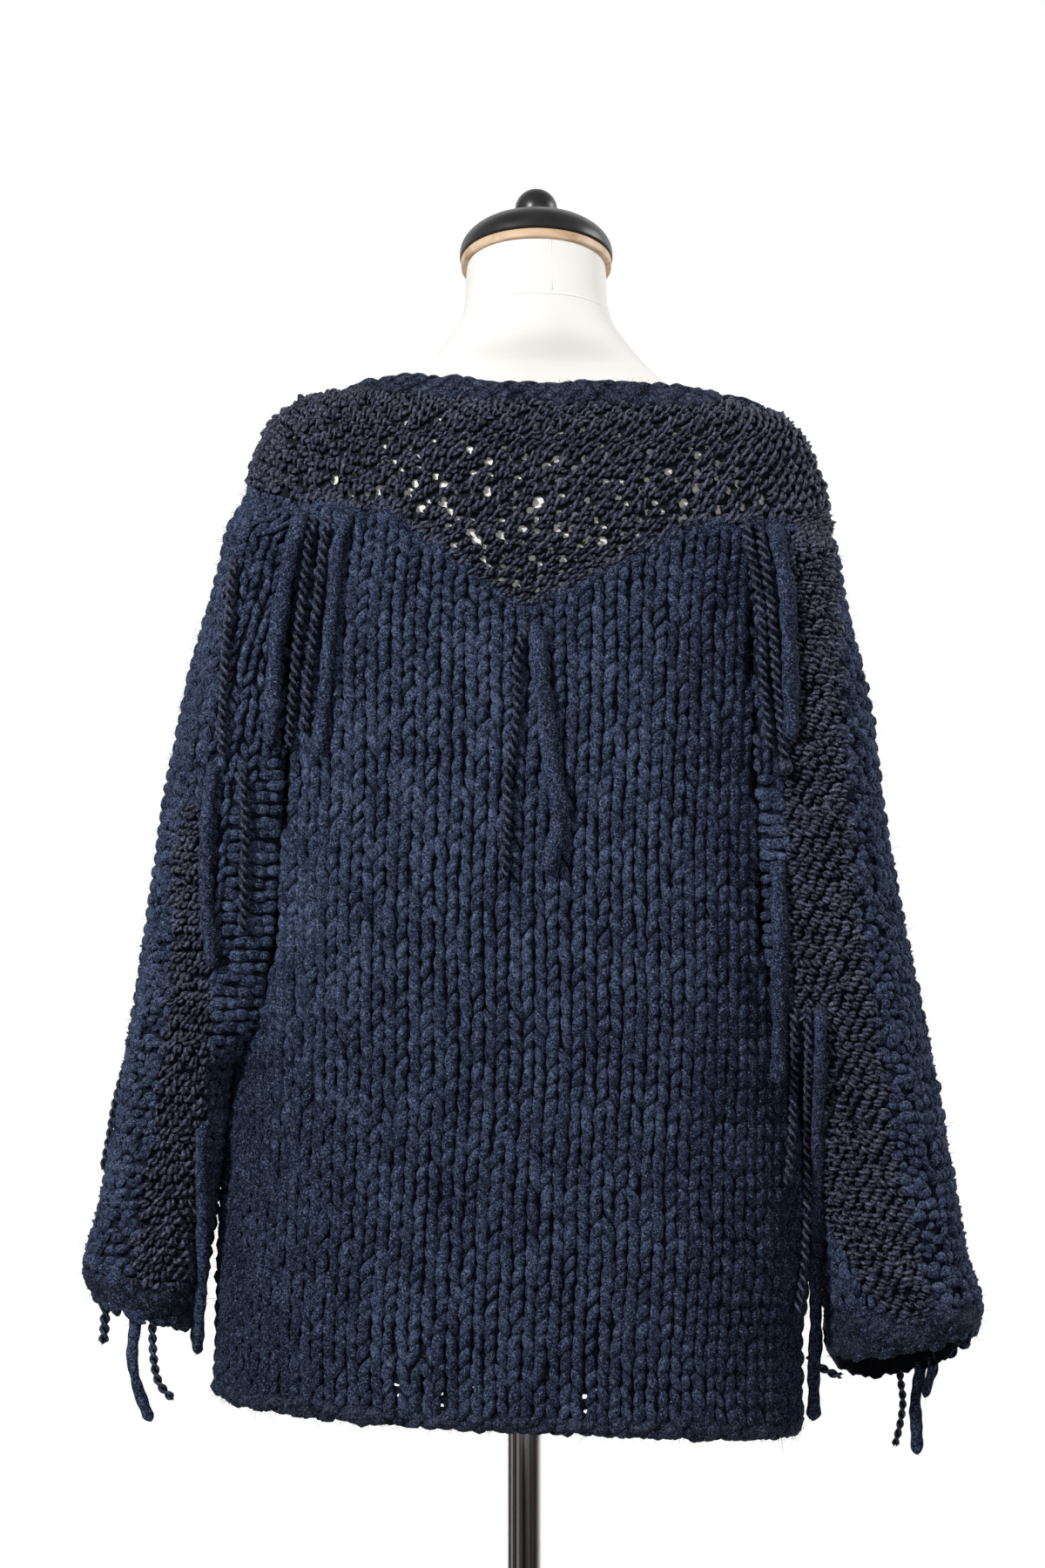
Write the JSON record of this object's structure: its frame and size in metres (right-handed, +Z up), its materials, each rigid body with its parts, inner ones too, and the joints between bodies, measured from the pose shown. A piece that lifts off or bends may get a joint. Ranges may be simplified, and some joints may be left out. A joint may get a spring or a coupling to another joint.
{
  "type": "chunky knit sweater on a dress form",
  "caption": "Thick hand-knit pullover with an open moss-stitch yoke and loose yarn ends, worn by a limbless dress form on a pole stand.",
  "frame": {"origin": "on the floor under the stand base, at the pole's axis", "axes": "+Z up along the pole, -Y out of the sweater's back, +X to the right seen from behind"},
  "size_m": [0.67, 0.3282, 1.579],
  "materials": {
    "navy_roving": "soft fuzzy roving",
    "charcoal_twist": "twisted yarn with shiny flecks",
    "cream_jersey": "smooth jersey",
    "pale_wood": "satin",
    "black_lacquer": "satin lacquer",
    "chrome_metal": "polished"
  },
  "bodies": {
    "root": {"cuff_left": "navy_roving", "cuff_right": "navy_roving", "end_left_cuff_outer": "navy_roving", "end_left_edge": "navy_roving", "end_left_inner": "navy_roving", "end_left_sleeve_top": "navy_roving", "end_right_crease": "navy_roving", "ends_left_cuff": "navy_roving", "ends_left_sleeve": "navy_roving", "ends_right_cuff": "navy_roving", "ends_right_side": "navy_roving", "ends_yoke_left": "navy_roving", "ends_yoke_point": "navy_roving", "ends_yoke_right": "navy_roving", "form_cap": "black_lacquer", "form_neck_disc": "pale_wood", "form_plate": "pale_wood", "form_torso": "cream_jersey", "hem_band": "navy_roving", "neckband": "navy_roving", "sleeve_left": "navy_roving", "sleeve_left_moss": "charcoal_twist", "sleeve_right": "navy_roving", "sleeve_right_moss": "charcoal_twist", "stand_base": "chrome_metal", "stand_pole": "chrome_metal", "sweater_back": "navy_roving", "sweater_front": "navy_roving", "yoke_back": "charcoal_twist", "yoke_front": "charcoal_twist"}
  },
  "joints": []
}
